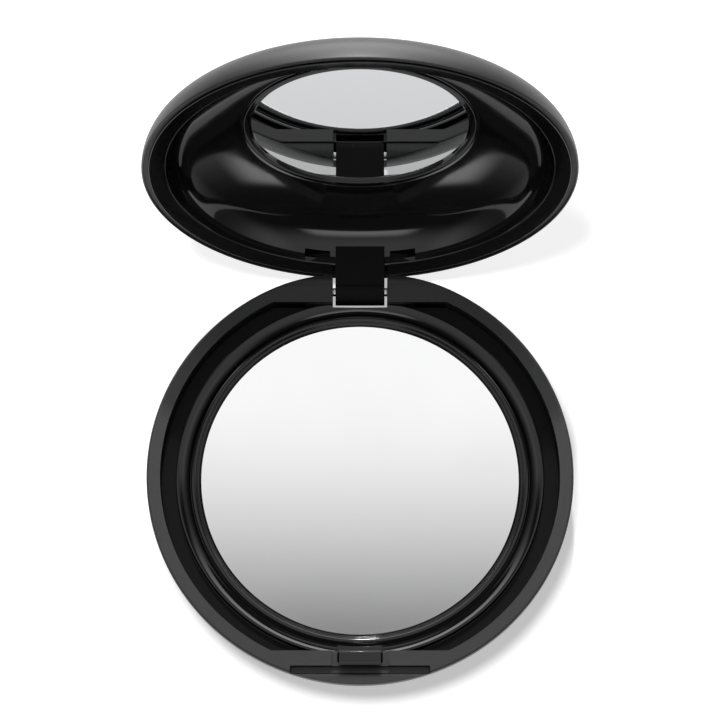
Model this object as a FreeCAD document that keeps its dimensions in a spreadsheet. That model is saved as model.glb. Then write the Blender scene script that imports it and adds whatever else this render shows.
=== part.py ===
"""Round mirror compact: a domed case with a hinged lid, two mirrors and a push-button latch.

Millimetres. +Z is up, +Y runs from the button to the hinge, and the origin is the middle of the flat foot.
The lid is drawn closed about its own centre, with its mouth at z = 0, and then swung open on the hinge.
"""
import FreeCAD
import Part
import Sketcher
import math
import os
import re

doc = FreeCAD.newDocument("mirror_compact")

SIZES = {
    # Case, shared by the base and the lid; the large mirror sets its size
    "mirror_radius": 29.5,
    "case_margin": 9.5,
    "edge_break": 0.35,
    # Base shell
    "base_height": 12.0,
    "base_straight": 1.0,
    "base_shoulder": 6.5,
    "base_crown": 45.0,
    "base_wall": 1.4,
    "rim_width": 2.5,
    "land_inset": 6.2,
    "land_thickness": 1.1,
    "tray_rib_inset": 5.5,
    "tray_rib_width": 1.4,
    # Inner tray
    "tray_edge_inset": 5.4,
    "tray_edge_drop": 1.8,
    "tray_edge_land": 0.25,
    "groove_drop": 3.4,
    "tray_flange": 0.7,
    "tray_floor": 1.0,
    "tray_well_wall": 1.4,
    "tray_clearance": 0.1,
    "cove_radius": 3.0,
    "cove_foot": 0.35,
    # Large mirror, its pad and its bezel
    "mirror_thickness": 2.0,
    "mirror_curve": 600.0,
    "mirror_drop": 3.8,
    "mirror_clearance": 0.2,
    "pad_inset": 2.5,
    "pad_thickness": 0.5,
    "bezel_overlap": 0.4,
    "bezel_width": 1.9,
    "bezel_lip": 0.4,
    "bezel_lip_width": 0.75,
    "bezel_bead": 1.1,
    "bezel_bead_round": 0.45,
    # Hinge
    "hinge_inset": 3.1,
    "hinge_drop": 4.1,
    "hinge_slot_width": 10.1,
    "hinge_slot_reach": 3.55,
    "hinge_gap": 0.5,
    "knuckle_radius": 2.5,
    "pin_radius": 0.8,
    "pin_length": 19.0,
    "pin_fixed_fit": 0.02,
    "pin_running_fit": 0.06,
    "lug_width": 5.0,
    "lug_depth": 7.2,
    "relief_gap": 0.7,
    "lid_open_angle": 101.5,
    # Button, tongue and spring
    "button_width": 25.2,
    "button_inset": 2.2,
    "button_depth": 4.9,
    "button_top_drop": 0.2,
    "button_gap": 0.3,
    "button_travel": 0.9,
    "button_stop": 0.35,
    "button_chamfer": 0.4,
    "opening_round": 0.6,
    "slider_inset": 4.2,
    "tongue_width": 7.6,
    "tongue_inset": 4.1,
    "tongue_length": 1.5,
    "nose_reach": 0.9,
    "arm_thickness": 1.1,
    "arm_reach": 0.9,
    "latch_gap": 0.3,
    "recess_width": 10.2,
    "recess_depth": 0.6,
    "spring_span": 18.0,
    "spring_thickness": 0.2,
    "spring_height": 1.4,
    "spring_gap": 0.05,
    "post_width": 2.0,
    "post_depth": 0.6,
    # Lid shell and liner
    "mouth_gap": 0.3,
    "lid_straight": 0.4,
    "lid_shoulder": 7.0,
    "lid_crown": 75.0,
    "lid_wall": 1.2,
    "liner_gap": 0.05,
    "lip_inset": 4.3,
    "lip_draft": 0.7,
    "ceiling_depth": 4.5,
    "ceiling_curve": 30.0,
    "ceiling_recess": 0.4,
    "hinge_tongue_front": 2.8,
    "hinge_tongue_back": 1.3,
    "hinge_tongue_top": 4.0,
    "window_start": 1.0,
    "window_width": 4.7,
    "window_depth": 1.5,
    "window_low": 0.9,
    "window_high": 3.1,
    "ledge_inset": 3.75,
    "ledge_thickness": 0.8,
    "notch_width": 10.8,
    "notch_depth": 2.8,
    # Small mirror, its pad and its bezel
    "lid_mirror_radius": 19.8,
    "lid_mirror_cover": 5.1,
    "lid_mirror_thickness": 1.0,
    "lid_pad_thickness": 0.25,
    "lid_pad_inset": 1.3,
    "lid_bezel_width": 1.2,
    "lid_bezel_overlap": 0.25,
    "lid_bezel_proud": 0.6,
}

# Places that follow from the sizes, so that a change of the large mirror carries the whole case along
FOLLOWING = {
    "case_radius": "mirror_radius + case_margin",
    "rim_inner": "case_radius - rim_width",
    "land_chord": "case_radius - land_inset",
    "tray_rib_radius": "mirror_radius - tray_rib_inset",
    "tray_edge_radius": "case_radius - tray_edge_inset",
    "pad_radius": "mirror_radius - pad_inset",
    "hinge_back": "case_radius - hinge_inset",
    "hinge_slot_front": "hinge_back - hinge_slot_reach",
    "button_chord": "case_radius - button_inset",
    "slider_back": "case_radius - slider_inset",
    "tongue_front": "case_radius - tongue_inset",
    "lip_radius": "case_radius - lip_inset",
    "ceiling_radius": "lip_radius - lip_draft",
    "tongue_inner_face": "hinge_back - hinge_tongue_front",
    "tongue_back_face": "hinge_back + hinge_tongue_back",
    "ledge_radius": "case_radius - ledge_inset",
    "lid_rise": "sqrt((lid_crown - lid_shoulder)^2 - (case_radius - lid_shoulder)^2)",
    "lid_mirror_depth": "lid_straight - lid_rise + lid_crown - lid_mirror_cover",
    "ceiling_end": "lid_mirror_depth - ceiling_recess",
    "lid_pad_radius": "lid_mirror_radius - lid_pad_inset",
}

sheet = doc.addObject("Spreadsheet::Sheet", "sizes")
for row, (alias, size) in enumerate({**SIZES, **FOLLOWING}.items(), start=1):
    sheet.set(f"A{row}", f"={size}")
    sheet.setAlias(f"A{row}", alias)
doc.recompute()


def bound(text):
    """The expression, with each size read from the sheet."""
    return re.sub(r"[a-z_]+", lambda word: f"sizes.{word[0]}" if word[0] in SIZES or word[0] in FOLLOWING
                  else word[0], text)


def number(text):
    return float(sheet.evalExpression(bound(text)))


def origin_plane(body, role):
    return next(plane for plane in body.Origin.OriginFeatures if plane.Role == role)


def draw(body, name, role, outline):
    """A closed sketch whose points and radii follow the sheet.

    Each corner is (across, up), and (across, up, radius, turn) starts an arc that turns left or right.
    """
    sketch = body.newObject("Sketcher::SketchObject", name)
    sketch.AttachmentSupport = [(origin_plane(body, role), "")]
    sketch.MapMode = "FlatFace"
    corners = [FreeCAD.Vector(number(corner[0]), number(corner[1]), 0) for corner in outline]
    ends = []
    for index, corner in enumerate(outline):
        start, finish = corners[index], corners[(index + 1) % len(corners)]
        if len(corner) == 2:
            ends.append((sketch.addGeometry(Part.LineSegment(start, finish)), 1, 2))
            continue
        radius, left = number(corner[2]), corner[3] == "left"
        chord = finish - start
        side = FreeCAD.Vector(-chord.y, chord.x, 0).normalize() * (1 if left else -1)
        centre = (start + finish) * 0.5 + side * math.sqrt(radius ** 2 - (chord.Length / 2) ** 2)
        first, last = (start, finish) if left else (finish, start)
        circle = Part.Circle(centre, FreeCAD.Vector(0, 0, 1), radius)
        angles = [math.atan2(point.y - centre.y, point.x - centre.x) for point in (first, last)]
        arc = sketch.addGeometry(Part.ArcOfCircle(circle, angles[0], angles[1]))
        ends.append((arc, 1, 2) if left else (arc, 2, 1))
    tie_to_sheet(sketch, outline, corners, ends)
    return sketch


def tie_to_sheet(sketch, outline, corners, ends):
    """Ties each corner to the sheet, joins the edges end to end and sets the radii."""
    for index, corner in enumerate(outline):
        edge, first, last = ends[index]
        following = ends[(index + 1) % len(ends)]
        sketch.addConstraint(Sketcher.Constraint("Coincident", edge, last, following[0], following[1]))
        for kind, text, value in (("DistanceX", corner[0], corners[index].x),
                                  ("DistanceY", corner[1], corners[index].y)):
            tie = sketch.addConstraint(Sketcher.Constraint(kind, -1, 1, edge, first, value))
            sketch.setExpression(f"Constraints[{tie}]", bound(text))
        if len(corner) == 4:
            tie = sketch.addConstraint(Sketcher.Constraint("Radius", edge, number(corner[2])))
            sketch.setExpression(f"Constraints[{tie}]", bound(corner[2]))


def revolved(name, outline):
    """A body turned about the vertical axis from an outline of (radius, height)."""
    body = doc.addObject("PartDesign::Body", name)
    sketch = draw(body, name + "_outline", "XZ_Plane", outline)
    turn = body.newObject("PartDesign::Revolution", name + "_turn")
    turn.Profile = sketch
    turn.ReferenceAxis = (sketch, ["V_Axis"])
    turn.Angle = 360
    return body


def extruded(name, role, outline, length):
    """A body of even thickness, half of it on each side of an origin plane."""
    body = doc.addObject("PartDesign::Body", name)
    sketch = draw(body, name + "_outline", role, outline)
    pad = body.newObject("PartDesign::Pad", name + "_pad")
    pad.Profile = sketch
    pad.Midplane = True
    pad.setExpression("Length", bound(length))
    return body


def box(name, x_span, y_span, z_span):
    block = doc.addObject("Part::Box", name)
    for size, letter, (low, high) in zip(("Length", "Width", "Height"), "xyz", (x_span, y_span, z_span)):
        block.setExpression(size, bound(f"({high}) - ({low})"))
        block.setExpression(f".Placement.Base.{letter}", bound(low))
    return block


def across(width):
    """The span of something centred on the middle plane."""
    return f"-({width}) / 2", f"({width}) / 2"


def crossbar(name, radius, length, y_place, z_place):
    """A round bar that lies along X, centred on the middle plane."""
    bar = doc.addObject("Part::Cylinder", name)
    bar.setExpression("Radius", bound(radius))
    bar.setExpression("Height", bound(length))
    bar.Placement.Rotation = FreeCAD.Rotation(FreeCAD.Vector(0, 1, 0), 90)
    bar.setExpression(".Placement.Base.x", bound(f"-({length}) / 2"))
    bar.setExpression(".Placement.Base.y", bound(y_place))
    bar.setExpression(".Placement.Base.z", bound(z_place))
    return bar


def joined(name, *pieces):
    union = doc.addObject("Part::MultiFuse", name)
    union.Shapes = list(pieces)
    union.Refine = True
    return union


def cut(name, blank, *tools):
    result = doc.addObject("Part::Cut", name)
    result.Base = blank
    result.Tool = tools[0] if len(tools) == 1 else joined(name + "_tools", *tools)
    result.Refine = True
    return result


def shared(name, first, second):
    overlap = doc.addObject("Part::Common", name)
    overlap.Base = first
    overlap.Tool = second
    return overlap


def dome(straight, shoulder, crown, inset):
    """Expressions for a dome's side: radius and height where its crown takes over, and the crown's centre.

    Heights are measured from the case edge towards the crown. inset moves the side inwards.
    """
    reach = f"(case_radius - {shoulder})"
    rise = f"sqrt(({crown} - {shoulder})^2 - {reach}^2)"
    blend_radius = f"{reach} * ({crown} - {inset}) / ({crown} - {shoulder})"
    blend_height = f"{straight} - {rise} + {rise} * ({crown} - {inset}) / ({crown} - {shoulder})"
    return blend_radius, blend_height, f"({straight} - {rise})"


# Heights and places used by more than one piece
MIRROR_TOP = "(base_height - mirror_drop)"
MIRROR_BOTTOM = f"({MIRROR_TOP} - mirror_thickness)"
WELL_FLOOR = f"({MIRROR_BOTTOM} - pad_thickness)"
TRAY_BOTTOM = f"({WELL_FLOOR} - tray_floor)"
WELL_RADIUS = "(mirror_radius + mirror_clearance)"
BEZEL_INNER = "(mirror_radius - bezel_overlap)"
BEZEL_OUTER = f"({BEZEL_INNER} + bezel_width)"
HINGE_HEIGHT = "(base_height - hinge_drop)"
LAND_UNDER = "(base_height - land_thickness)"
SLIDER_TOP = f"({LAND_UNDER} - button_gap)"
BUTTON_BOTTOM = "(base_height - button_top_drop - button_depth)"
FAR = "(2 * case_radius)"

# Base shell
BASE_BLEND_R, BASE_BLEND_H, BASE_CENTRE = dome("base_straight", "base_shoulder", "base_crown", "0")
FOOT_RADIUS = f"sqrt(base_crown^2 - (base_height - {BASE_CENTRE})^2)"
outer_side = [
    ("0", "0"),
    (FOOT_RADIUS, "0", "base_crown", "left"),
    (BASE_BLEND_R, f"base_height - ({BASE_BLEND_H})", "base_shoulder", "left"),
    ("case_radius", "base_height - base_straight"),
    ("case_radius", "base_height - edge_break"),
    ("case_radius - edge_break", "base_height"),
]
outer_form = revolved("outer_form", outer_side + [("0", "base_height")])

IN_BLEND_R, IN_BLEND_H, _ = dome("base_straight", "base_shoulder", "base_crown", "base_wall")
INNER_SHOULDER = "(base_shoulder - base_wall)"
WALL_FOOT = (f"base_height - base_straight"
             f" - sqrt({INNER_SHOULDER}^2 - (rim_inner - case_radius + base_shoulder)^2)")
FLOOR_RADIUS = f"sqrt((base_crown - base_wall)^2 - (base_height - {BASE_CENTRE} - base_wall)^2)"
bowl = revolved("bowl", outer_side + [
    ("rim_inner", "base_height"),
    ("rim_inner", WALL_FOOT, INNER_SHOULDER, "right"),
    (IN_BLEND_R, f"base_height - ({IN_BLEND_H})", "base_crown - base_wall", "right"),
    (FLOOR_RADIUS, "base_wall"),
    ("tray_rib_radius + tray_rib_width / 2", "base_wall"),
    ("tray_rib_radius + tray_rib_width / 2", TRAY_BOTTOM),
    ("tray_rib_radius - tray_rib_width / 2", TRAY_BOTTOM),
    ("tray_rib_radius - tray_rib_width / 2", "base_wall"),
    ("0", "base_wall"),
])
land_height = (LAND_UNDER, "base_height")
front_land = box("front_land_block", across(FAR), (f"-{FAR}", "-land_chord"), land_height)
back_land = box("back_land_block", across(FAR), ("land_chord", FAR), land_height)
LUG_SPAN = "(hinge_slot_width + 2 * lug_width)"
lugs = box("hinge_lug_block", across(LUG_SPAN), ("land_chord", FAR),
           ("base_height - lug_depth", "base_height"))
posts = [
    box(f"spring_post_{side}", (f"{sign}spring_span / 2 - post_width / 2",
                                f"{sign}spring_span / 2 + post_width / 2"),
        ("-land_chord - post_depth", "-land_chord"),
        (f"{BUTTON_BOTTOM}", "base_height"))
    for side, sign in (("left", "-"), ("right", ""))
]
inside = shared("lands_and_lugs", outer_form, joined("land_blocks", front_land, back_land, lugs, *posts))
hinge_slot = box("hinge_slot", across("hinge_slot_width"), ("hinge_slot_front", FAR), ("-base_wall", FAR))
pin_bore = crossbar("pin_bore", "pin_radius + pin_fixed_fit", "pin_length", "hinge_back", HINGE_HEIGHT)
relief = cut("back_relief",
             box("relief_block", across(FAR), ("hinge_back", FAR), (HINGE_HEIGHT, FAR)),
             crossbar("relief_round", "hinge_drop + mouth_gap - relief_gap", FAR, "hinge_back",
                      HINGE_HEIGHT))
OPENING_HALF = "(button_width / 2 + button_gap)"
LAND_FRONT = "(button_chord - button_travel - button_stop)"
opening_plan = extruded("opening_plan", "XY_Plane", [
    (f"-{OPENING_HALF}", "-case_radius - button_travel"),
    (OPENING_HALF, "-case_radius - button_travel"),
    (OPENING_HALF, f"-{LAND_FRONT} - opening_round", "opening_round", "left"),
    (f"{OPENING_HALF} - opening_round", f"-{LAND_FRONT}"),
    (f"opening_round - {OPENING_HALF}", f"-{LAND_FRONT}", "opening_round", "left"),
    (f"-{OPENING_HALF}", f"-{LAND_FRONT} - opening_round"),
], "4 * base_height")
opening = shared("button_opening", opening_plan,
                 box("opening_height", across(FAR), (f"-{FAR}", "0"),
                     (f"{BUTTON_BOTTOM} - button_gap", FAR)))
slider_pocket = box("slider_pocket", across(f"2 * {OPENING_HALF}"),
                    (f"-{FAR}", "-slider_back + button_travel + button_stop"),
                    (f"{BUTTON_BOTTOM} - button_gap", LAND_UNDER))
latch_recess = box("latch_recess", across("recess_width"), (f"-{LAND_FRONT}", "0"),
                   ("base_height - recess_depth", FAR))
latch_slot = box("latch_slot", across("tongue_width + 2 * latch_gap"),
                 ("-tongue_front - latch_gap", "0"), (f"{LAND_UNDER} - latch_gap", FAR))
base_shell = cut("base_shell", joined("base_blank", bowl, inside), hinge_slot, pin_bore, relief, opening,
                 slider_pocket, latch_recess, latch_slot)

# Inner tray
tray_blank = revolved("tray_blank", [
    ("0", TRAY_BOTTOM),
    (f"{WELL_RADIUS} + tray_well_wall", TRAY_BOTTOM),
    (f"{WELL_RADIUS} + tray_well_wall", "base_height - groove_drop - tray_flange"),
    ("rim_inner - tray_clearance", "base_height - groove_drop - tray_flange"),
    ("rim_inner - tray_clearance", "base_height - groove_drop"),
    ("tray_edge_radius", "base_height - groove_drop"),
    ("tray_edge_radius", "base_height - tray_edge_drop"),
    ("tray_edge_radius - tray_edge_land", "base_height - tray_edge_drop", "cove_radius", "left"),
    (f"{BEZEL_OUTER} + tray_clearance", f"{MIRROR_TOP} + cove_foot"),
    (f"{BEZEL_OUTER} + tray_clearance", MIRROR_TOP),
    (WELL_RADIUS, MIRROR_TOP),
    (WELL_RADIUS, WELL_FLOOR),
    ("0", WELL_FLOOR),
])
TRAY_FLAT = "(land_chord - tray_clearance)"
front_flat = box("tray_front_flat", across(FAR), (f"-{FAR}", f"-{TRAY_FLAT}"), ("0", FAR))
back_flat = box("tray_back_flat", across(FAR), (TRAY_FLAT, FAR), ("0", FAR))
hinge_notch = box("tray_hinge_notch", across("hinge_slot_width"), ("hinge_slot_front", FAR), ("0", FAR))
TONGUE_BACK = "(tongue_front - tongue_length)"
ARM_END = "(tongue_front - tongue_length - arm_reach)"
latch_notch = box("tray_latch_notch", across("tongue_width + 2 * latch_gap"),
                  (f"-{FAR}", f"-{ARM_END} + button_travel + latch_gap"),
                  (f"{SLIDER_TOP} - arm_thickness - latch_gap", FAR))
inner_tray = cut("inner_tray", tray_blank, front_flat, back_flat, hinge_notch, latch_notch)

# Large mirror, its pad and its bezel
base_mirror = revolved("base_mirror", [
    ("0", MIRROR_BOTTOM),
    ("mirror_radius", MIRROR_BOTTOM),
    ("mirror_radius", MIRROR_TOP, "mirror_curve", "right"),
    ("0", f"{MIRROR_TOP} - mirror_curve + sqrt(mirror_curve^2 - mirror_radius^2)"),
])
base_mirror_pad = revolved("base_mirror_pad", [
    ("0", WELL_FLOOR),
    ("pad_radius", WELL_FLOOR),
    ("pad_radius", MIRROR_BOTTOM),
    ("0", MIRROR_BOTTOM),
])
BEZEL_STEP = f"({BEZEL_INNER} + bezel_lip_width)"
mirror_bezel = revolved("mirror_bezel", [
    (BEZEL_INNER, MIRROR_TOP),
    (BEZEL_OUTER, MIRROR_TOP),
    (BEZEL_OUTER, f"{MIRROR_TOP} + bezel_bead - bezel_bead_round", "bezel_bead_round", "left"),
    (f"{BEZEL_OUTER} - bezel_bead_round", f"{MIRROR_TOP} + bezel_bead"),
    (f"{BEZEL_STEP} + bezel_bead_round", f"{MIRROR_TOP} + bezel_bead", "bezel_bead_round", "left"),
    (BEZEL_STEP, f"{MIRROR_TOP} + bezel_bead - bezel_bead_round"),
    (BEZEL_STEP, f"{MIRROR_TOP} + bezel_lip"),
    (f"{BEZEL_INNER} + bezel_lip", f"{MIRROR_TOP} + bezel_lip"),
])

# Hinge pin
hinge_pin = crossbar("hinge_pin", "pin_radius", "pin_length", "hinge_back", HINGE_HEIGHT)

# Push button, its tongue and its spring
BUTTON_TOP = "(base_height - button_top_drop)"
button_side = extruded("button_side", "YZ_Plane", [
    ("-case_radius - button_travel", BUTTON_BOTTOM),
    ("-slider_back", BUTTON_BOTTOM),
    ("-slider_back", SLIDER_TOP),
    ("-button_chord", SLIDER_TOP),
    ("-button_chord", f"{BUTTON_TOP} - button_chamfer"),
    ("-button_chord - button_chamfer", BUTTON_TOP),
    ("-case_radius - button_travel", BUTTON_TOP),
], "button_width")
button_face = shared("button_face", outer_form, button_side)
arm = box("button_arm", across("tongue_width"), ("-slider_back", f"-{ARM_END}"),
          (f"{SLIDER_TOP} - arm_thickness", SLIDER_TOP))
push_button = joined("push_button", button_face, arm)
TONGUE_TOP = "(base_height + mouth_gap + ledge_thickness + latch_gap + nose_reach)"
latch_tongue = extruded("latch_tongue", "YZ_Plane", [
    (f"-{TONGUE_BACK}", SLIDER_TOP),
    (f"-{TONGUE_BACK}", TONGUE_TOP),
    ("-tongue_front", TONGUE_TOP, "nose_reach", "left"),
    ("-tongue_front - nose_reach", f"{TONGUE_TOP} - nose_reach"),
    ("-tongue_front", f"{TONGUE_TOP} - nose_reach"),
    ("-tongue_front", SLIDER_TOP),
], "tongue_width")
SPRING_TIP = "(land_chord + post_depth + spring_gap)"
SPRING_BOW = f"(slider_back - {SPRING_TIP} - spring_thickness - spring_gap)"
SPRING_CURVE = f"((spring_span / 2)^2 + {SPRING_BOW}^2) / (2 * {SPRING_BOW})"
button_spring = extruded("button_spring", "XY_Plane", [
    ("-spring_span / 2", f"-{SPRING_TIP}", SPRING_CURVE, "left"),
    ("spring_span / 2", f"-{SPRING_TIP}"),
    ("spring_span / 2", f"-{SPRING_TIP} - spring_thickness", SPRING_CURVE, "right"),
    ("-spring_span / 2", f"-{SPRING_TIP} - spring_thickness"),
], "spring_height")
button_spring.setExpression(".Placement.Base.z", bound(f"{BUTTON_BOTTOM} + spring_height / 2 + spring_gap"))

# Lid shell
LID_BLEND_R, LID_BLEND_H, LID_CENTRE = dome("lid_straight", "lid_shoulder", "lid_crown", "0")
SHELL_BLEND_R, SHELL_BLEND_H, _ = dome("lid_straight", "lid_shoulder", "lid_crown", "lid_wall")
SEAT_DEPTH = "(lid_mirror_depth + lid_mirror_thickness + lid_pad_thickness)"
SEAT_RADIUS = "(lid_mirror_radius + lid_bezel_width)"
LINER_INSET = "(lid_wall + liner_gap)"


def crown_height(radius, inset):
    """Height of the lid's dome, moved in by inset, at a radius."""
    return f"{LID_CENTRE} + sqrt((lid_crown - {inset})^2 - ({radius})^2)"


lid_shell = revolved("lid_shell", [
    ("case_radius - lid_wall", "0"),
    ("case_radius - edge_break", "0"),
    ("case_radius", "edge_break"),
    ("case_radius", "lid_straight", "lid_shoulder", "left"),
    (LID_BLEND_R, LID_BLEND_H, "lid_crown", "left"),
    ("0", f"{LID_CENTRE} + lid_crown"),
    ("0", SEAT_DEPTH),
    (SEAT_RADIUS, SEAT_DEPTH),
    (SEAT_RADIUS, crown_height(SEAT_RADIUS, "lid_wall"), "lid_crown - lid_wall", "right"),
    (SHELL_BLEND_R, SHELL_BLEND_H, "lid_shoulder - lid_wall", "right"),
    ("case_radius - lid_wall", "lid_straight"),
])

# Lid liner, with its hinge tongue and catch ledge
LINER_BLEND_R, LINER_BLEND_H, _ = dome("lid_straight", "lid_shoulder", "lid_crown", LINER_INSET)
LINER_HOLE = f"({SEAT_RADIUS} + liner_gap)"
liner_blank = revolved("liner_blank", [
    ("lip_radius", "0"),
    (f"case_radius - {LINER_INSET}", "0"),
    (f"case_radius - {LINER_INSET}", "lid_straight", f"lid_shoulder - {LINER_INSET}", "left"),
    (LINER_BLEND_R, LINER_BLEND_H, f"lid_crown - {LINER_INSET}", "left"),
    (LINER_HOLE, crown_height(LINER_HOLE, LINER_INSET)),
    (LINER_HOLE, "ceiling_end", "ceiling_curve", "right"),
    ("ceiling_radius", "ceiling_depth"),
])
DROP = "(hinge_drop + mouth_gap)"
KNUCKLE_WIDTH = "(hinge_slot_width - 2 * hinge_gap)"
knuckle = crossbar("knuckle", "knuckle_radius", KNUCKLE_WIDTH, "hinge_back", f"-{DROP}")
hinge_arm = box("hinge_arm", across(KNUCKLE_WIDTH), ("tongue_inner_face", "tongue_back_face"),
                (f"-{DROP}", "0"))
tongue_root = box("tongue_root", across(KNUCKLE_WIDTH), ("tongue_inner_face", "lip_radius + lid_wall"),
                  ("0", "hinge_tongue_top"))
knuckle_bore = crossbar("knuckle_bore", "pin_radius + pin_running_fit", FAR, "hinge_back", f"-{DROP}")
catch_notch = box("catch_notch", across("notch_width"), ("-ledge_radius", "0"),
                  ("-mouth_gap", "notch_depth"))
nose_pocket = box("nose_pocket", across("tongue_width + 4 * latch_gap"),
                  ("-tongue_front - nose_reach - 2 * latch_gap", "0"),
                  ("ledge_thickness", "notch_depth"))
WINDOW_START = f"({KNUCKLE_WIDTH} / 2 + window_start)"
windows = [
    box(f"hinge_window_{side}", span, ("0", "lip_radius + window_depth"), ("window_low", "window_high"))
    for side, span in (("left", (f"-{WINDOW_START} - window_width", f"-{WINDOW_START}")),
                       ("right", (WINDOW_START, f"{WINDOW_START} + window_width")))
]
lid_liner = cut("lid_liner", joined("liner_and_tongue", liner_blank, knuckle, hinge_arm, tongue_root),
                knuckle_bore, catch_notch, nose_pocket, *windows)

# Small mirror, its pad and its bezel
lid_mirror = revolved("lid_mirror", [
    ("0", "lid_mirror_depth"),
    ("lid_mirror_radius", "lid_mirror_depth"),
    ("lid_mirror_radius", "lid_mirror_depth + lid_mirror_thickness"),
    ("0", "lid_mirror_depth + lid_mirror_thickness"),
])
lid_mirror_pad = revolved("lid_mirror_pad", [
    ("0", "lid_mirror_depth + lid_mirror_thickness"),
    ("lid_pad_radius", "lid_mirror_depth + lid_mirror_thickness"),
    ("lid_pad_radius", SEAT_DEPTH),
    ("0", SEAT_DEPTH),
])
lid_mirror_bezel = revolved("lid_mirror_bezel", [
    ("lid_mirror_radius - lid_bezel_overlap", "lid_mirror_depth - lid_bezel_proud / 2"),
    ("lid_mirror_radius - lid_bezel_overlap + lid_bezel_proud / 2", "lid_mirror_depth - lid_bezel_proud"),
    (f"{SEAT_RADIUS} - liner_gap", "lid_mirror_depth - lid_bezel_proud"),
    (f"{SEAT_RADIUS} - liner_gap", "lid_mirror_depth + lid_mirror_thickness"),
    ("lid_mirror_radius + liner_gap", "lid_mirror_depth + lid_mirror_thickness"),
    ("lid_mirror_radius + liner_gap", "lid_mirror_depth"),
    ("lid_mirror_radius - lid_bezel_overlap", "lid_mirror_depth"),
])

# The lid stands open: its pieces swing back about the hinge pin
LID_PIECES = (lid_shell, lid_liner, lid_mirror, lid_mirror_pad, lid_mirror_bezel)
for piece in LID_PIECES:
    piece.Placement.Rotation = FreeCAD.Rotation(FreeCAD.Vector(-1, 0, 0), number("lid_open_angle"))
    piece.setExpression(".Placement.Rotation.Angle", bound("lid_open_angle"))
    piece.setExpression(".Placement.Base.y", bound(
        f"hinge_back * (1 - cos(lid_open_angle)) + {DROP} * sin(lid_open_angle)"))
    piece.setExpression(".Placement.Base.z", bound(
        f"{HINGE_HEIGHT} + hinge_back * sin(lid_open_angle) + {DROP} * cos(lid_open_angle)"))

doc.recompute()

PIECES = (base_shell, inner_tray, base_mirror, base_mirror_pad, mirror_bezel, hinge_pin, push_button,
          latch_tongue, button_spring) + LID_PIECES

for item in doc.Objects:
    if "Invalid" in item.State or "Error" in item.State:
        raise RuntimeError(f"{item.Name} did not build: {item.State}")
for piece in PIECES:
    if piece.Shape.isNull() or not piece.Shape.isValid():
        raise RuntimeError(f"{piece.Label} is not a valid solid")

os.makedirs("parts", exist_ok=True)
for piece in PIECES:
    piece.Shape.exportStep(f"parts/{piece.Label}.step")
    print(f"{piece.Label}: {len(piece.Shape.Solids)} solid, {piece.Shape.Volume:.1f} mm3")
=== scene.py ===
"""Looks of the round mirror compact: finishes, soft edges, studio and camera. Metres, in the CAD frame."""
import bpy
import bmesh
import math
from mathutils import Euler, Matrix, Vector
from mathutils.geometry import intersect_line_line_2d


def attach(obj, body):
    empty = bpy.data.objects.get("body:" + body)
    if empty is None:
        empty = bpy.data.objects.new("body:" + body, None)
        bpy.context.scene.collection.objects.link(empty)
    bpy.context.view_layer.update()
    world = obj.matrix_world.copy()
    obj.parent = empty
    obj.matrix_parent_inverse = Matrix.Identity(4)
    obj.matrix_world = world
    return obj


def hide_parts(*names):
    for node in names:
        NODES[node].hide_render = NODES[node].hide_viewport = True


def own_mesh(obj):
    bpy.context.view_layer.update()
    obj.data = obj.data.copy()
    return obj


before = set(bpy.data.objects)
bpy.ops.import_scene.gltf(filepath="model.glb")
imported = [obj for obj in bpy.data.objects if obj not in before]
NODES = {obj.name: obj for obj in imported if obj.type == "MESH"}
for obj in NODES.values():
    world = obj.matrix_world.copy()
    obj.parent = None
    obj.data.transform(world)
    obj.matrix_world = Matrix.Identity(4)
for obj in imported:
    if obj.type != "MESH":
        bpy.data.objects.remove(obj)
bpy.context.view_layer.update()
scene = bpy.context.scene
MM = 0.001

# Camera: the photograph looks down on the open case from the button side
CAMERA_PLACE = Vector((0.0, -175.8, 699.6)) * MM
CAMERA_ELEVATION = math.radians(73.98)
CAMERA_LENS, CAMERA_SENSOR = 194.4, 36.0
CAMERA_REACH = 10.0

# Sizes in millimetres: the CAD's, apart from small rounds, clearances and the liner's lip and inner corner
CASE_R = 39.0
BASE_TOP = 12.0
BASE_SIDE = {"straight": 1.0, "shoulder": 6.5, "crown": 45.0}
BASE_WALL = 1.4
RIM_INNER = 36.5
RIM_ROUND = 0.4
BASE_EDGE_ROUND = 0.16
LAND_CHORD = 32.8
LAND_UNDER = 10.9
HINGE_Y, HINGE_Z = 35.9, 7.9
HINGE_SLOT_HALF = 5.05
HINGE_SLOT_FRONT = 32.35
LUG_HALF, LUG_UNDER = 10.05, 4.8
RELIEF_R = 3.7
BUTTON_HALF = 12.6
BUTTON_CHORD = 36.8
BUTTON_CHAMFER = 0.4
BUTTON_TOP, BUTTON_BOTTOM = 11.8, 6.9
BUTTON_GAP, BUTTON_END_GAP = 0.3, 0.04
BUTTON_EDGE_ROUND = 0.12
OPENING_ROUND = 0.35
POCKET_GAP = 0.35
LAND_FRONT = 35.55
SLIDER_BACK, SLIDER_TOP = 34.8, 10.6
TONGUE_HALF, TONGUE_FRONT, TONGUE_BACK = 3.8, 34.9, 33.4
TONGUE_TOP = 14.3
TONGUE_BACK_ROUND, NOSE_ROUND, TONGUE_EDGE_ROUND = 0.2, 0.7, 0.15
SPRING_HALF, SPRING_TIP, SPRING_LEAF, SPRING_GAP = 9.0, 33.45, 0.2, 0.05
SPRING_HEIGHT = 1.4
SPRING_STEPS = 36
NOSE = 0.9
LATCH_GAP = 0.3
ARM_END, ARM_UNDER = 32.5, 9.5
RECESS_HALF, RECESS_FLOOR = 5.1, 11.4
TRAVEL = 0.9
TRAY_EDGE_R, TRAY_EDGE_Z = 33.6, 10.2
TRAY_FLAT = 32.7
TRAY_CREST, TRAY_CREST_ROUND, TRAY_EDGE_ROUND = 0.25, 0.12, 0.1
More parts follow.
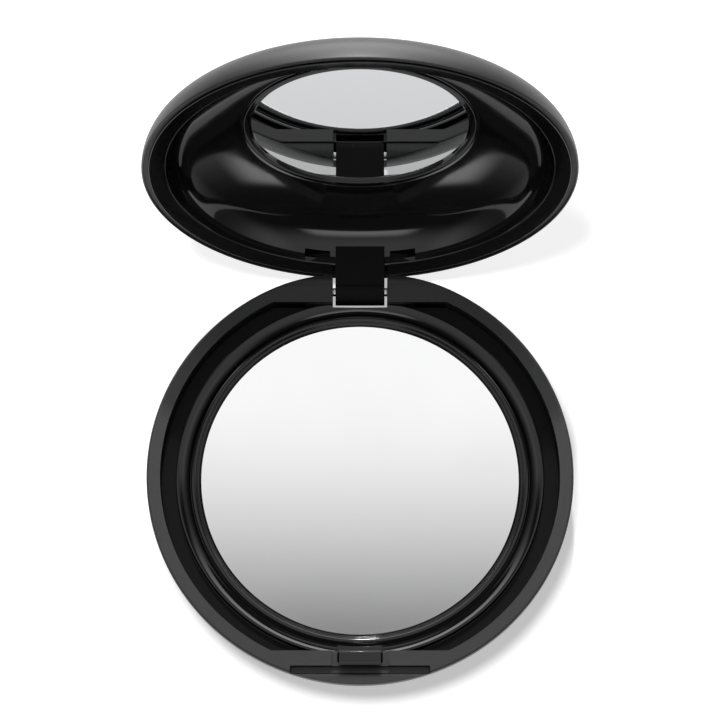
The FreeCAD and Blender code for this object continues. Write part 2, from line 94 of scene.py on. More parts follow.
TRAY_FLOOR, TRAY_FLANGE, TRAY_WALL, TRAY_GAP = 1.0, 0.7, 1.4, 0.1
COVE_R, COVE_FOOT, COVE_STEPS = 3.0, 0.35, 10
GROOVE_Z, GROOVE_ROUND = 8.6, 0.3
WELL_R, WELL_FLOOR = 29.7, 5.7
MIRROR_R, MIRROR_TOP, MIRROR_BOTTOM, MIRROR_CURVE = 29.5, 8.2, 6.2, 600.0
MIRROR_EDGE, MIRROR_ROUND, MIRROR_STEPS = 0.25, 0.12, 24
BEZEL_INNER, BEZEL_OUTER = 29.1, 31.0
BEZEL_STEP, BEZEL_CHAMFER, BEZEL_LOW, BEZEL_HIGH = 0.75, 0.4, 0.4, 1.1
BEAD_ROUND, STEP_ROUND, BEZEL_LIP_ROUND, BEZEL_STEPS = 0.5, 0.1, 0.12, 8
LID_SIDE = {"straight": 0.4, "shoulder": 7.0, "crown": 75.0}
LID_WALL = 1.2
LID_MOUTH_ROUND, LID_RIM_ROUND = 0.15, 0.35
LINER_INSET = 1.25
LINER_EDGE_ROUND = 0.2
LID_DROP = 4.4
LID_OPEN = math.radians(101.5)
LIP_R, LIP_SLOPE, LIP_ROUND, LIP_OUTER_ROUND = 34.7, 0.65, 0.35, 0.15
CEILING_R, CEILING_Z, CEILING_RISE, CEILING_CURVE, CEILING_STEPS = 34.0, 4.5, 5.4, 30.0, 24
LINER_CORNER_STEPS, LINER_CORNER_END, LINER_BEND_STEPS = 7, 0.2, 14
LINER_LINE = 40.0
ARM_FRONT, ARM_BACK, ARM_ROOT, ARM_TOP, ARM_ROUND = 33.1, 37.2, 0.2, 4.0, 0.4
CATCH_NOTCH = ((-5.4, 5.4), (-35.25, 0.0), (-0.3, 2.8))
CATCH_POCKET = ((-4.4, 4.4), (-36.4, 0.0), (0.8, 2.8))
WINDOW_SPANS, WINDOW_DEPTH, WINDOW_HEIGHT = ((-10.25, -5.55), (5.55, 10.25)), (0.0, 36.2), (0.9, 3.1)
HINGE_TONGUE_SIDE, HINGE_TONGUE_END = 0.1, 44.0
LID_MIRROR_R, LID_MIRROR_Z, LID_MIRROR_BACK, LID_MIRROR_ROUND = 19.8, 10.3, 11.3, 0.15
LID_BEZEL_OVERLAP, LID_BEZEL_CHAMFER, LID_BEZEL_FACE, LID_BEZEL_FIT = 0.25, 0.3, 0.6, 0.05
LID_BEZEL_EDGE_ROUND, LID_BEZEL_ROUND = 0.08, 0.2
SEAT_R, SEAT_Z, SEAT_FIT = 21.0, 11.55, 0.05
KNUCKLE_HALF, KNUCKLE_R = 4.55, 2.5
PIN_R, PIN_HALF, PIN_ROUND, PIN_FIT, PIN_RUNNING_FIT = 0.8, 9.5, 0.2, 0.02, 0.06

# Turned shapes, and how far a shape that cuts or joins runs past the other
TURNS = 288
ON_AXIS = 1e-6
PAST, JUST_PAST = 2.0, 1.0
OVERLAP = 0.5
MOUTH_OVERLAP = 0.2

# Shading, the rounds on cut edges, the grain of the finishes, and what counts as level
SMOOTH_ANGLE, SMOOTH_WEIGHT = math.radians(32.0), 100
EASE_ANGLE, EASE_SEGMENTS = math.radians(40.0), 3
NOISE_RANGE, NOISE_DETAIL = (0.3, 0.7), 3.0
PLASTIC_IOR, BUMP_STRENGTH = 1.5, 0.35
LEVEL_NORMAL, LEVEL_TOLERANCE = 0.99, 0.02


def link(thing):
    scene.collection.objects.link(thing)
    return thing


def add_camera():
    data = bpy.data.cameras.new("camera")
    data.lens = CAMERA_LENS
    data.sensor_width = CAMERA_SENSOR
    data.clip_end = CAMERA_REACH
    camera = link(bpy.data.objects.new("camera", data))
    camera.location = CAMERA_PLACE
    camera.rotation_euler = Euler((math.pi / 2 - CAMERA_ELEVATION, 0.0, 0.0))
    scene.camera = camera


class Nodes:
    """Short forms for building a node tree."""

    def __init__(self, tree):
        self.tree = tree
        tree.nodes.clear()

    def new(self, kind, **settings):
        node = self.tree.nodes.new(kind)
        for name, value in settings.items():
            setattr(node, name, value)
        return node

    def join(self, source, socket, target, name):
        self.tree.links.new(source.outputs[socket], target.inputs[name])

    def math(self, operation, first, second):
        node = self.new("ShaderNodeMath", operation=operation)
        for index, value in enumerate((first, second)):
            if isinstance(value, tuple):
                self.join(value[0], value[1], node, index)
            else:
                node.inputs[index].default_value = value
        return node


def material(name):
    made = bpy.data.materials.new(name)
    made.use_nodes = True
    return made, Nodes(made.node_tree)


def finish_material(nodes, shader):
    nodes.join(shader, "BSDF", nodes.new("ShaderNodeOutputMaterial"), "Surface")


def grain(nodes, scale):
    """Fine noise in the object's own space."""
    place = nodes.new("ShaderNodeTexCoord")
    noise = nodes.new("ShaderNodeTexNoise")
    noise.inputs["Scale"].default_value = scale
    noise.inputs["Detail"].default_value = NOISE_DETAIL
    nodes.join(place, "Object", noise, "Vector")
    return noise


def spread(nodes, source, low, high):
    """Maps noise to a range, for roughness."""
    ranged = nodes.new("ShaderNodeMapRange")
    ranged.inputs["From Min"].default_value = NOISE_RANGE[0]
    ranged.inputs["From Max"].default_value = NOISE_RANGE[1]
    ranged.inputs["To Min"].default_value = low
    ranged.inputs["To Max"].default_value = high
    nodes.join(source, "Fac", ranged, "Value")
    return ranged


def plastic(name, color, roughness, grain_scale, bump_depth, shine):
    """Moulded plastic: uneven gloss and a fine grain."""
    made, nodes = material(name)
    shader = nodes.new("ShaderNodeBsdfPrincipled")
    shader.inputs["Base Color"].default_value = (*color, 1.0)
    shader.inputs["IOR"].default_value = PLASTIC_IOR
    shader.inputs["Specular IOR Level"].default_value = shine
    texture = grain(nodes, grain_scale)
    nodes.join(spread(nodes, texture, *roughness), "Result", shader, "Roughness")
    bump = nodes.new("ShaderNodeBump")
    bump.inputs["Strength"].default_value = BUMP_STRENGTH
    bump.inputs["Distance"].default_value = bump_depth
    nodes.join(texture, "Fac", bump, "Height")
    nodes.join(bump, "Normal", shader, "Normal")
    finish_material(nodes, shader)
    return made


def metal(name, color, roughness, grain_scale):
    """Bright metal or silvering, a little uneven."""
    made, nodes = material(name)
    shader = nodes.new("ShaderNodeBsdfPrincipled")
    shader.inputs["Base Color"].default_value = (*color, 1.0)
    shader.inputs["Metallic"].default_value = 1.0
    texture = grain(nodes, grain_scale)
    nodes.join(spread(nodes, texture, *roughness), "Result", shader, "Roughness")
    finish_material(nodes, shader)
    return made


SATIN = plastic("satin_case", color=(0.009, 0.009, 0.0095), roughness=(0.36, 0.46),
                grain_scale=5200.0, bump_depth=0.00003, shine=0.4)
GLOSS = plastic("gloss_inner", color=(0.004, 0.004, 0.0045), roughness=(0.05, 0.08),
                grain_scale=260.0, bump_depth=0.000002, shine=0.4)
MATTE = plastic("matte_groove", color=(0.004, 0.004, 0.0045), roughness=(0.5, 0.65),
                grain_scale=3800.0, bump_depth=0.00004, shine=0.06)
FOAM = plastic("adhesive_foam", color=(0.7, 0.7, 0.68), roughness=(0.75, 0.9),
               grain_scale=2600.0, bump_depth=0.00008, shine=0.5)
BASE_GLASS = metal("base_mirror_glass", color=(0.95, 0.95, 0.955), roughness=(0.05, 0.08), grain_scale=90.0)
LID_GLASS = metal("lid_mirror_glass", color=(0.86, 0.87, 0.875), roughness=(0.0, 0.015), grain_scale=90.0)
STEEL = metal("hinge_steel", color=(0.72, 0.72, 0.73), roughness=(0.16, 0.26), grain_scale=900.0)

FINISH = {
    "base_shell": SATIN, "inner_tray": GLOSS, "base_mirror": BASE_GLASS, "base_mirror_pad": FOAM,
    "mirror_bezel": GLOSS, "hinge_pin": STEEL, "push_button": SATIN, "latch_tongue": GLOSS,
    "button_spring": STEEL, "lid_shell": SATIN, "lid_liner": GLOSS, "lid_mirror": LID_GLASS,
    "lid_mirror_pad": FOAM, "lid_mirror_bezel": GLOSS,
}


def dress_nodes():
    for name, finish in FINISH.items():
        mesh = NODES[name].data
        mesh.materials.clear()
        mesh.materials.append(finish)


# Shapes, in millimetres until they become pieces
def arc(centre, radius, start, end, steps):
    """Points on an arc of (radius, height), its ends included. Angles in radians."""
    angles = [start + (end - start) * step / steps for step in range(steps + 1)]
    return [(centre[0] + radius * math.cos(a), centre[1] + radius * math.sin(a)) for a in angles]


def dome_side(straight, shoulder, crown, inset=0.0, top=None, steps=28):
    """A dome from the case edge to its top, as (radius, height above the edge plane)."""
    reach = CASE_R - shoulder
    rise = math.sqrt((crown - shoulder) ** 2 - reach ** 2)
    blend = math.atan2(rise, reach)
    centre = straight - rise
    end = math.pi / 2 if top is None else math.asin((top - centre) / (crown - inset))
    side = arc((reach, straight), shoulder - inset, 0.0, blend, steps)
    return side + arc((0.0, centre), crown - inset, blend, end, steps)[1:]


def curve(start, corner, end, steps):
    """A smooth bend that leaves start and reaches end along the lines to the corner."""
    return [tuple(start.lerp(corner, step / steps).lerp(corner.lerp(end, step / steps), step / steps))
            for step in range(steps + 1)]


def eased(corners, steps=6):
    """The outline with its corners rounded: (radius, height) is sharp, (radius, height, round) is eased."""
    count = len(corners)
    points = []
    for index, corner in enumerate(corners):
        here = Vector(corner[:2])
        if len(corner) == 2:
            points.append(tuple(here))
            continue
        before = (Vector(corners[index - 1][:2]) - here).normalized()
        after = (Vector(corners[(index + 1) % count][:2]) - here).normalized()
        half = before.angle(after) / 2
        middle = here + (before + after).normalized() * corner[2] / math.sin(half)
        first = here + before * corner[2] / math.tan(half) - middle
        last = here + after * corner[2] / math.tan(half) - middle
        start = math.atan2(first.y, first.x)
        sweep = (math.atan2(last.y, last.x) - start + math.pi) % math.tau - math.pi
        points += arc(middle, corner[2], start, start + sweep, steps)
    return points


def solid(name, points, faces):
    """An object from points in millimetres."""
    mesh = bpy.data.meshes.new(name)
    mesh.from_pydata([Vector(point) * MM for point in points], [], faces)
    work = bmesh.new()
    work.from_mesh(mesh)
    bmesh.ops.recalc_face_normals(work, faces=work.faces)
    work.to_mesh(mesh)
    work.free()
    return bpy.data.objects.new(name, mesh)


def lathe(name, outline):
    """A solid turned about the vertical axis from a closed outline of (radius, height)."""
    points, rings, faces = [], [], []
    for radius, height in outline:
        count = 1 if radius < ON_AXIS else TURNS
        rings.append((len(points), count))
        for turn in range(count):
            angle = math.tau * turn / TURNS
            points.append((radius * math.cos(angle), radius * math.sin(angle), height))
    for index, (first, count) in enumerate(rings):
        second, following = rings[(index + 1) % len(rings)]
        for turn in range(TURNS):
            after = (turn + 1) % TURNS
            ring = [first + turn % count, first + after % count,
                    second + after % following, second + turn % following]
            face = list(dict.fromkeys(ring))
            if len(face) > 2:
                faces.append(face)
    return solid(name, points, faces)


def prism(name, plan, low, high, axes="xyz"):
    """A solid from an outline in the first two axes, standing along the third."""
    count = len(plan)
    order = ["xyz".index(axis) for axis in axes]
    points = []
    for level in (low, high):
        for first, second in plan:
            point = [0.0, 0.0, 0.0]
            for place, value in zip(order, (first, second, level)):
                point[place] = value
            points.append(point)
    faces = [list(range(count)), list(range(count, 2 * count))]
    for index in range(count):
        after = (index + 1) % count
        faces.append([index, after, count + after, count + index])
    return solid(name, points, faces)


def block(x_span, y_span, z_span):
    plan = [(x_span[0], y_span[0]), (x_span[1], y_span[0]), (x_span[1], y_span[1]), (x_span[0], y_span[1])]
    return prism("block", plan, *z_span)


def crossbar(radius, half, y_place, z_place, steps=48):
    plan = [(y_place + radius * math.cos(math.tau * step / steps),
             z_place + radius * math.sin(math.tau * step / steps)) for step in range(steps)]
    return prism("crossbar", plan, -half, half, "yzx")


def settle(piece):
    """Applies the piece's modifiers."""
    link(piece)
    bpy.context.view_layer.update()
    applied = bpy.data.meshes.new_from_object(piece.evaluated_get(bpy.context.evaluated_depsgraph_get()))
    scene.collection.objects.unlink(piece)
    piece.modifiers.clear()
    piece.data = applied
    return piece


def combine(piece, operation, *tools):
    for tool in tools:
        link(tool)
        change = piece.modifiers.new(operation, "BOOLEAN")
        change.operation = operation
        change.solver = "EXACT"
        change.object = tool
    settle(piece)
    for tool in tools:
        bpy.data.objects.remove(tool)
    return piece


def carve(piece, *tools):
    return combine(piece, "DIFFERENCE", *tools)


def ease_edges(piece, width):
    """Rounds the edges that cutting left, by no more than the piece's shortest edges leave room for."""
    bevel = piece.modifiers.new("ease", "BEVEL")
    bevel.width = width * MM
    bevel.segments = EASE_SEGMENTS
    bevel.limit_method = "ANGLE"
    bevel.angle_limit = EASE_ANGLE
    bevel.miter_outer = "MITER_ARC"
    return settle(piece)


def add_piece(piece, node, body):
    """Puts a finished shape in the place of a CAD node."""
    piece.name = node + "_form"
    piece.data.shade_smooth()
    piece.data.set_sharp_from_angle(angle=SMOOTH_ANGLE)
    flats = piece.modifiers.new("flats", "WEIGHTED_NORMAL")
    flats.weight = SMOOTH_WEIGHT
    flats.keep_sharp = True
    settle(piece)
    piece.data.materials.clear()
    piece.data.materials.append(FINISH[node])
    link(piece)
    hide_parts(node)
    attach(piece, body)


def refinish(piece, finish, chosen):
    """Gives another finish to the faces chosen by their middle, in millimetres, and their normal."""
    piece.data.materials.append(finish)
    for face in piece.data.polygons:
        if chosen(face.center / MM, face.normal):
            face.material_index = 1


def swing(piece):
    """Takes a lid shape from its closed place, mouth down at the origin, to the open lid."""
    hinge = Vector((0.0, HINGE_Y, HINGE_Z)) * MM
    drop = Vector((0.0, -HINGE_Y, LID_DROP)) * MM
    piece.data.transform(Matrix.Translation(hinge) @ Matrix.Rotation(-LID_OPEN, 4, "X")
                         @ Matrix.Translation(drop))
    return piece


def base_side(inset=0.0, top=BASE_TOP):
    """The base's outside, or inside at an inset, from the rim down to a flat at a height below the rim."""
    side = dome_side(**BASE_SIDE, inset=inset, top=top)
    return [(radius, BASE_TOP - height) for radius, height in side]


def base_outer():
    """The base's whole outside, as a closed outline."""
    wall = (CASE_R, BASE_TOP - BASE_SIDE["straight"])
    rim = eased([wall, (CASE_R, BASE_TOP, RIM_ROUND), (0.0, BASE_TOP)])
    return [(0.0, 0.0)] + base_side()[::-1] + rim[1:]


def clipped_disc(radius, chord):
    """A disc's plan, cut off straight at the front and the back."""
    half = math.asin(chord / radius)
    right = arc((0.0, 0.0), radius, -half, half, TURNS // 3)
    left = arc((0.0, 0.0), radius, math.pi - half, math.pi + half, TURNS // 3)
    return right + left


def make_base_shell():
    above, beyond = BASE_TOP + PAST, CASE_R + PAST
    shell = lathe("base_shell_form", base_outer())
    inside = [point for point in base_side(BASE_WALL, BASE_TOP - BASE_WALL) if point[0] < RIM_INNER]
    hollow = lathe("hollow", [(0.0, LAND_UNDER), (RIM_INNER, LAND_UNDER)] + inside + [(0.0, BASE_WALL)])
    carve(hollow, block((-LUG_HALF, LUG_HALF), (LAND_CHORD, CASE_R), (LUG_UNDER, BASE_TOP)))
    mouth = prism("mouth", clipped_disc(RIM_INNER, LAND_CHORD), LAND_UNDER - MOUTH_OVERLAP,
                  BASE_TOP + JUST_PAST)
    slot = block((-HINGE_SLOT_HALF, HINGE_SLOT_HALF), (HINGE_SLOT_FRONT, beyond), (-JUST_PAST, above))
    relief = block((-CASE_R, CASE_R), (HINGE_Y, beyond), (HINGE_Z, above))
    carve(relief, crossbar(RELIEF_R, CASE_R + JUST_PAST, HINGE_Y, HINGE_Z))
    half, under = BUTTON_HALF + BUTTON_END_GAP, BUTTON_BOTTOM - BUTTON_GAP
    plan = eased([(-half, -beyond), (half, -beyond), (half, -LAND_FRONT, OPENING_ROUND),
                  (-half, -LAND_FRONT, OPENING_ROUND)])
    opening = prism("opening", plan, under, above)
    pocket = block((-half, half), (-CASE_R - JUST_PAST, -SLIDER_BACK + TRAVEL + POCKET_GAP),
                   (under, LAND_UNDER))
    recess = block((-RECESS_HALF, RECESS_HALF), (-LAND_FRONT - OVERLAP, 0.0), (RECESS_FLOOR, above))
    half = TONGUE_HALF + LATCH_GAP
    tongue_slot = block((-half, half), (-TONGUE_FRONT - LATCH_GAP, 0.0), (LAND_UNDER - LATCH_GAP, above))
    bore = crossbar(PIN_R + PIN_FIT, PIN_HALF, HINGE_Y, HINGE_Z)
    carve(shell, hollow, mouth, slot, relief, opening, pocket, recess, tongue_slot, bore)
    add_piece(ease_edges(shell, BASE_EDGE_ROUND), "base_shell", "base")


def make_inner_tray():
    cove_start = Vector((TRAY_EDGE_R - TRAY_CREST, TRAY_EDGE_Z))
    cove_end = Vector((BEZEL_OUTER + TRAY_GAP, MIRROR_TOP + COVE_FOOT))
    chord = cove_end - cove_start
    side = Vector((-chord.y, chord.x)).normalized() * math.sqrt(COVE_R ** 2 - (chord.length / 2) ** 2)
    centre = (cove_start + cove_end) / 2 + side
    angles = [math.atan2(*(end - centre).yx) for end in (cove_start, cove_end)]
    sweep = (angles[1] - angles[0] + math.pi) % math.tau - math.pi
    cove = arc(centre, COVE_R, angles[0], angles[0] + sweep, COVE_STEPS)
    foot, flange = WELL_FLOOR - TRAY_FLOOR, GROOVE_Z - TRAY_FLANGE
    wall, rim = WELL_R + TRAY_WALL, RIM_INNER - TRAY_GAP
    outline = eased([
        (0.0, foot), (wall, foot), (wall, flange), (rim, flange), (rim, GROOVE_Z),
        (TRAY_EDGE_R, GROOVE_Z, GROOVE_ROUND), (TRAY_EDGE_R, TRAY_EDGE_Z, TRAY_CREST_ROUND)])
    well = [(cove_end.x, MIRROR_TOP), (WELL_R, MIRROR_TOP), (WELL_R, WELL_FLOOR), (0.0, WELL_FLOOR)]
    tray = lathe("inner_tray_form", outline + cove + well)
    above, beyond = BASE_TOP + PAST, CASE_R + PAST
    front = block((-CASE_R, CASE_R), (-CASE_R, -TRAY_FLAT), (0.0, above))
    back = block((-CASE_R, CASE_R), (TRAY_FLAT, CASE_R), (0.0, above))
    notch = block((-HINGE_SLOT_HALF, HINGE_SLOT_HALF), (HINGE_SLOT_FRONT, beyond), (0.0, above))
    half = TONGUE_HALF + LATCH_GAP
    latch = block((-half, half), (-beyond, -ARM_END + TRAVEL + LATCH_GAP), (ARM_UNDER - LATCH_GAP, above))
    carve(tray, front, back, notch, latch)
    add_piece(ease_edges(tray, TRAY_EDGE_ROUND), "inner_tray", "base")
    refinish(tray, MATTE, lambda middle, normal:
             normal.z > LEVEL_NORMAL and abs(middle.z - GROOVE_Z) < LEVEL_TOLERANCE)


def make_base_mirror():
    centre_z = MIRROR_TOP + math.sqrt(MIRROR_CURVE ** 2 - MIRROR_R ** 2)
    edge = math.asin((MIRROR_R - MIRROR_EDGE) / MIRROR_CURVE)
    face = arc((0.0, centre_z), MIRROR_CURVE, -math.pi / 2, -math.pi / 2 + edge, MIRROR_STEPS)
    side = eased([face[-1], (MIRROR_R, MIRROR_TOP, MIRROR_ROUND), (MIRROR_R, MIRROR_BOTTOM)])[1:]
    add_piece(lathe("base_mirror_form", face + side + [(0.0, MIRROR_BOTTOM)]), "base_mirror", "base")


def make_mirror_bezel():
    step, low, high = BEZEL_INNER + BEZEL_STEP, MIRROR_TOP + BEZEL_LOW, MIRROR_TOP + BEZEL_HIGH
    outline = eased([
        (BEZEL_INNER, MIRROR_TOP), (BEZEL_OUTER, MIRROR_TOP), (BEZEL_OUTER, high, BEAD_ROUND),
        (step, high, BEAD_ROUND), (step, low, STEP_ROUND),
        (BEZEL_INNER + BEZEL_CHAMFER, low, BEZEL_LIP_ROUND)], steps=BEZEL_STEPS)
    add_piece(lathe("mirror_bezel_form", outline), "mirror_bezel", "base")


def make_push_button():
    face = lathe("push_button_form", base_outer())
    front = -CASE_R - JUST_PAST
    side = [(front, BUTTON_BOTTOM), (-SLIDER_BACK, BUTTON_BOTTOM), (-SLIDER_BACK, SLIDER_TOP),
            (-BUTTON_CHORD, SLIDER_TOP), (-BUTTON_CHORD, BUTTON_TOP - BUTTON_CHAMFER),
            (-BUTTON_CHORD - BUTTON_CHAMFER, BUTTON_TOP), (front, BUTTON_TOP)]
    combine(face, "INTERSECT", prism("side", side, -BUTTON_HALF, BUTTON_HALF, "yzx"))
    arm = block((-TONGUE_HALF, TONGUE_HALF), (-SLIDER_BACK - OVERLAP, -ARM_END), (ARM_UNDER, SLIDER_TOP))
    combine(face, "UNION", arm)
    add_piece(ease_edges(face, BUTTON_EDGE_ROUND), "push_button", "button")


def make_latch_tongue():
    tip, under = -TONGUE_FRONT - NOSE, TONGUE_TOP - NOSE
    outline = eased([
        (-TONGUE_BACK, SLIDER_TOP), (-TONGUE_BACK, TONGUE_TOP, TONGUE_BACK_ROUND),
        (tip, TONGUE_TOP, NOSE_ROUND), (tip, under), (-TONGUE_FRONT, under), (-TONGUE_FRONT, SLIDER_TOP)])
    tongue = prism("latch_tongue_form", outline, -TONGUE_HALF, TONGUE_HALF, "yzx")
    add_piece(ease_edges(tongue, TONGUE_EDGE_ROUND), "latch_tongue", "button")


def make_button_spring():
    """A bowed leaf, built in its resting bow; on the real case it flattens as the button goes in."""
    bow = SLIDER_BACK - SPRING_TIP - SPRING_LEAF - SPRING_GAP
    radius = (SPRING_HALF ** 2 + bow ** 2) / (2 * bow)
    turn = math.asin(SPRING_HALF / radius)
    centre = (0.0, radius - bow - SPRING_TIP)
    back = arc(centre, radius, -math.pi / 2 - turn, -math.pi / 2 + turn, SPRING_STEPS)
    front = [(x, y - SPRING_LEAF) for x, y in back[::-1]]
    foot = BUTTON_BOTTOM + SPRING_GAP
    spring = prism("button_spring_form", back + front, foot, foot + SPRING_HEIGHT)
    add_piece(spring, "button_spring", "base")
    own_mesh(spring)


def make_hinge_pin():
    outline = eased([(0.0, -PIN_HALF), (PIN_R, -PIN_HALF, PIN_ROUND), (PIN_R, PIN_HALF, PIN_ROUND),
                     (0.0, PIN_HALF)])
    pin = lathe("hinge_pin_form", outline)
    place = Matrix.Translation(Vector((0.0, HINGE_Y, HINGE_Z)) * MM)
    pin.data.transform(place @ Matrix.Rotation(math.pi / 2, 4, "Y"))
    add_piece(pin, "hinge_pin", "base")


def make_lid_shell():
    outside = dome_side(**LID_SIDE)
    inside = [point for point in dome_side(**LID_SIDE, inset=LID_WALL) if point[0] > SEAT_R]
    edge = eased([(CASE_R - LID_WALL, 0.0, LID_MOUTH_ROUND), (CASE_R, 0.0, LID_RIM_ROUND),
                  (CASE_R, LID_SIDE["straight"])])
    outline = edge[:-1] + outside + [(0.0, SEAT_Z), (SEAT_R, SEAT_Z)] + inside[::-1]
    add_piece(swing(lathe("lid_shell_form", outline)), "lid_shell", "lid")


def liner_outline():
    """The liner's section: its ceiling bends softly into the wall, and the lip slopes in from the rim."""
    hole = SEAT_R + SEAT_FIT
    outside = [point for point in dome_side(**LID_SIDE, inset=LINER_INSET) if point[0] > hole]
    start, end = Vector((hole, CEILING_Z + CEILING_RISE)), Vector((CEILING_R, CEILING_Z))
    chord = end - start
    reach = math.sqrt(CEILING_CURVE ** 2 - (chord.length / 2) ** 2)
    centre = (start + end) / 2 + Vector((chord.y, -chord.x)).normalized() * reach
    angles = [math.atan2(*(point - centre).yx) for point in (start, end)]
    ceiling = arc(centre, CEILING_CURVE, *angles, CEILING_STEPS)[:-LINER_CORNER_STEPS]
    edge, foot = Vector(ceiling[-1]), Vector((LIP_R, LIP_SLOPE))
    onward = edge + (edge - Vector(ceiling[-2])) * LINER_LINE
    corner = intersect_line_line_2d(edge, onward, foot, end + (end - foot))
    bend = curve(edge, corner, foot.lerp(corner, LINER_CORNER_END), LINER_BEND_STEPS)
    rim = CASE_R - LINER_INSET
    lip = eased([bend[-1], (LIP_R, LIP_SLOPE, LIP_ROUND), (rim, 0.0, LIP_OUTER_ROUND),
                 (rim, LID_SIDE["straight"])])
    return bend[1:] + lip[1:-1] + outside + [(hole, outside[-1][1])] + ceiling


def make_lid_liner():
    liner = lathe("lid_liner_form", liner_outline())
    arm = eased([(ARM_FRONT, -LID_DROP), (ARM_BACK, -LID_DROP), (ARM_BACK, ARM_ROOT), (HINGE_Y, ARM_ROOT),
                 (HINGE_Y, ARM_TOP), (ARM_FRONT, ARM_TOP, ARM_ROUND)])
    combine(liner, "UNION", prism("arm", arm, -KNUCKLE_HALF, KNUCKLE_HALF, "yzx"),
            crossbar(KNUCKLE_R, KNUCKLE_HALF, HINGE_Y, -LID_DROP))
    bore = crossbar(PIN_R + PIN_RUNNING_FIT, CASE_R, HINGE_Y, -LID_DROP)
    windows = [block(span, WINDOW_DEPTH, WINDOW_HEIGHT) for span in WINDOW_SPANS]
    carve(liner, bore, block(*CATCH_NOTCH), block(*CATCH_POCKET), *windows)
    add_piece(swing(ease_edges(liner, LINER_EDGE_ROUND)), "lid_liner", "lid")
    refinish(liner, MATTE, lambda middle, normal:
             abs(middle.x) < KNUCKLE_HALF + HINGE_TONGUE_SIDE and middle.y < HINGE_TONGUE_END)


def make_lid_mirror():
    outline = eased([(0.0, LID_MIRROR_Z), (LID_MIRROR_R, LID_MIRROR_Z, LID_MIRROR_ROUND),
                     (LID_MIRROR_R, LID_MIRROR_BACK), (0.0, LID_MIRROR_BACK)])
    add_piece(swing(lathe("lid_mirror_form", outline)), "lid_mirror", "lid")


def make_lid_mirror_bezel():
    inner, outer = LID_MIRROR_R - LID_BEZEL_OVERLAP, SEAT_R - LID_BEZEL_FIT
    seat, face = LID_MIRROR_R + LID_BEZEL_FIT, LID_MIRROR_Z - LID_BEZEL_FACE
    outline = eased([
        (inner, LID_MIRROR_Z - LID_BEZEL_CHAMFER, LID_BEZEL_EDGE_ROUND),
        (inner + LID_BEZEL_CHAMFER, face, LID_BEZEL_ROUND), (outer, face, LID_BEZEL_ROUND),
        (outer, LID_MIRROR_BACK), (seat, LID_MIRROR_BACK), (seat, LID_MIRROR_Z), (inner, LID_MIRROR_Z)])
    add_piece(swing(lathe("lid_mirror_bezel_form", outline)), "lid_mirror_bezel", "lid")


# Studio: a pair is where a panel's edge starts and ends, as a part of the direction to it, or two levels
FLOOR_SIDE = 1.0
FLOOR_COLOR = (0.8, 0.8, 0.8, 1.0)
FLOOR_LIFT = 0.46
WHITE = (1.0, 1.0, 1.0, 1.0)
ROOM_LEVEL = 0.12
TOP_FADE = (math.sin(math.radians(12.3)), math.sin(math.radians(20.0)))
TOP_EDGE = (0.2, 0.9)
TOP_BEYOND, TOP_BELOW = 0.01, 0.05
SIDE_START = (0.55, 0.8)
SIDE_HEIGHT = (0.05, 0.6)
SIDE_LEVEL = (0.14, 0.55)
FRONT_START = (-0.55, -0.85)
FRONT_FOOT = (0.3, 0.37)
FRONT_HEIGHT = (0.4, 0.66)
FRONT_LEVEL = 2.8
FRONT_SIDE = (0.25, 0.42)
BACK_START = (0.40, 0.58)
BACK_HEIGHT = (-0.2, 0.8)
BACK_LEVEL = (7.4, 6.6)
BACK_SIDE = (0.05, 0.85)
BACK_BEYOND = 0.02
KEY_LAMP = {"place": (-0.14, 0.02, 1.0), "aim": (0.0, 0.02, 0.02),
            "size": 0.22, "power": 6.8, "mirrored": False}
BACK_LAMP = {"place": (-0.02, 1.0, 1.2), "aim": (0.0, 0.03, 0.03),
             "size": 0.08, "power": 12.0, "mirrored": True}


def seen_or_mirrored(nodes):
    """1 for rays from the camera, from glossy surfaces or through clear ones."""
    path = nodes.new("ShaderNodeLightPath")
    seen = nodes.math("MAXIMUM", (path, "Is Camera Ray"), (path, "Is Glossy Ray"))
    return nodes.math("MAXIMUM", (seen, 0), (path, "Is Transmission Ray"))


def add_floor():
    mesh = bpy.data.meshes.new("floor")
    half = FLOOR_SIDE / 2
    mesh.from_pydata([(-half, -half, 0), (half, -half, 0), (half, half, 0), (-half, half, 0)], [],
                     [(0, 1, 2, 3)])
    floor = link(bpy.data.objects.new("floor", mesh))
    made, nodes = material("pale_floor")
    diffuse = nodes.new("ShaderNodeBsdfDiffuse")
    diffuse.inputs["Color"].default_value = FLOOR_COLOR
    lift = nodes.new("ShaderNodeEmission")
    lift.inputs["Color"].default_value = (FLOOR_LIFT, FLOOR_LIFT, FLOOR_LIFT, 1.0)
    nodes.join(seen_or_mirrored(nodes), 0, lift, "Strength")
    both = nodes.new("ShaderNodeAddShader")
    nodes.join(diffuse, "BSDF", both, 0)
    nodes.join(lift, "Emission", both, 1)
    nodes.join(both, "Shader", nodes.new("ShaderNodeOutputMaterial"), "Surface")
    mesh.materials.append(made)


def ramp(nodes, source, socket, start, end, low, high):
    """A smooth step from one level to another."""
    step = nodes.new("ShaderNodeMapRange", interpolation_type="SMOOTHSTEP")
    step.inputs["From Min"].default_value = start
    step.inputs["From Max"].default_value = end
    step.inputs["To Min"].default_value = low
    step.inputs["To Max"].default_value = high
    nodes.join(source, socket, step, "Value")
    return step, 0


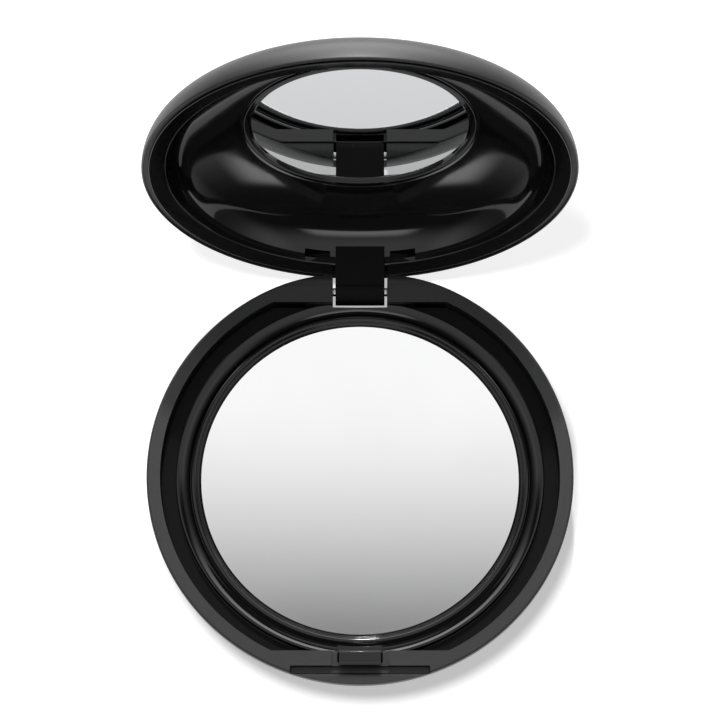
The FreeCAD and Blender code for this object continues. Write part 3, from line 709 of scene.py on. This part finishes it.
def add_world():
    """A white room for the camera; reflections see panels overhead, beside, in front and behind."""
    world = bpy.data.worlds.new("studio")
    world.use_nodes = True
    scene.world = world
    nodes = Nodes(world.node_tree)
    place = nodes.new("ShaderNodeTexCoord")
    axes = nodes.new("ShaderNodeSeparateXYZ")
    nodes.join(place, "Generated", axes, "Vector")
    aside = nodes.math("ABSOLUTE", (axes, "X"), 0.0)
    overhead = nodes.math("MULTIPLY", ramp(nodes, axes, "Y", *TOP_FADE, 1.0, TOP_BEYOND),
                          ramp(nodes, axes, "Z", *TOP_EDGE, TOP_BELOW, 1.0))
    beside = nodes.math("MULTIPLY", ramp(nodes, aside, 0, *SIDE_START, 0.0, 1.0),
                        ramp(nodes, axes, "Z", *SIDE_HEIGHT, *SIDE_LEVEL))
    before = nodes.math("MULTIPLY", ramp(nodes, axes, "Y", *FRONT_START, 0.0, 1.0),
                        ramp(nodes, axes, "Z", *FRONT_HEIGHT, FRONT_LEVEL, 0.0))
    before = nodes.math("MULTIPLY", (before, 0), ramp(nodes, axes, "Z", *FRONT_FOOT, 0.0, 1.0))
    before = nodes.math("MULTIPLY", (before, 0), ramp(nodes, aside, 0, *FRONT_SIDE, 1.0, 0.0))
    behind = nodes.math("MULTIPLY", ramp(nodes, axes, "Y", *BACK_START, 0.0, 1.0),
                        ramp(nodes, axes, "Z", *BACK_HEIGHT, *BACK_LEVEL))
    behind = nodes.math("MULTIPLY", (behind, 0), ramp(nodes, aside, 0, *BACK_SIDE, 1.0, BACK_BEYOND))
    panels = nodes.math("ADD", (overhead, 0), (beside, 0))
    panels = nodes.math("ADD", (panels, 0), (before, 0))
    panels = nodes.math("ADD", (panels, 0), (behind, 0))
    path = nodes.new("ShaderNodeLightPath")
    mix = nodes.new("ShaderNodeMix")
    nodes.join(path, "Is Glossy Ray", mix, "Factor")
    mix.inputs["A"].default_value = ROOM_LEVEL
    nodes.join(panels, 0, mix, "B")
    camera = nodes.new("ShaderNodeMix")
    seen = nodes.math("MAXIMUM", (path, "Is Camera Ray"), (path, "Is Transmission Ray"))
    nodes.join(seen, 0, camera, "Factor")
    nodes.join(mix, "Result", camera, "A")
    camera.inputs["B"].default_value = 1.0
    background = nodes.new("ShaderNodeBackground")
    background.inputs["Color"].default_value = WHITE
    nodes.join(camera, "Result", background, "Strength")
    nodes.join(background, "Background", nodes.new("ShaderNodeOutputWorld"), "Surface")


def add_lamp(name, place, aim, size, power, mirrored):
    data = bpy.data.lights.new(name, "AREA")
    data.shape = "DISK"
    data.size = size
    data.energy = power
    lamp = link(bpy.data.objects.new(name, data))
    lamp.location = place
    lamp.visible_glossy = mirrored
    lamp.rotation_euler = (Vector(aim) - Vector(place)).to_track_quat("-Z", "Y").to_euler()


dress_nodes()
make_base_shell()
make_inner_tray()
make_base_mirror()
make_mirror_bezel()
make_push_button()
make_latch_tongue()
make_button_spring()
make_hinge_pin()
make_lid_shell()
make_lid_liner()
make_lid_mirror()
make_lid_mirror_bezel()
add_camera()
add_floor()
add_world()
add_lamp("key", **KEY_LAMP)
add_lamp("back", **BACK_LAMP)
scene.view_settings.view_transform = "Standard"
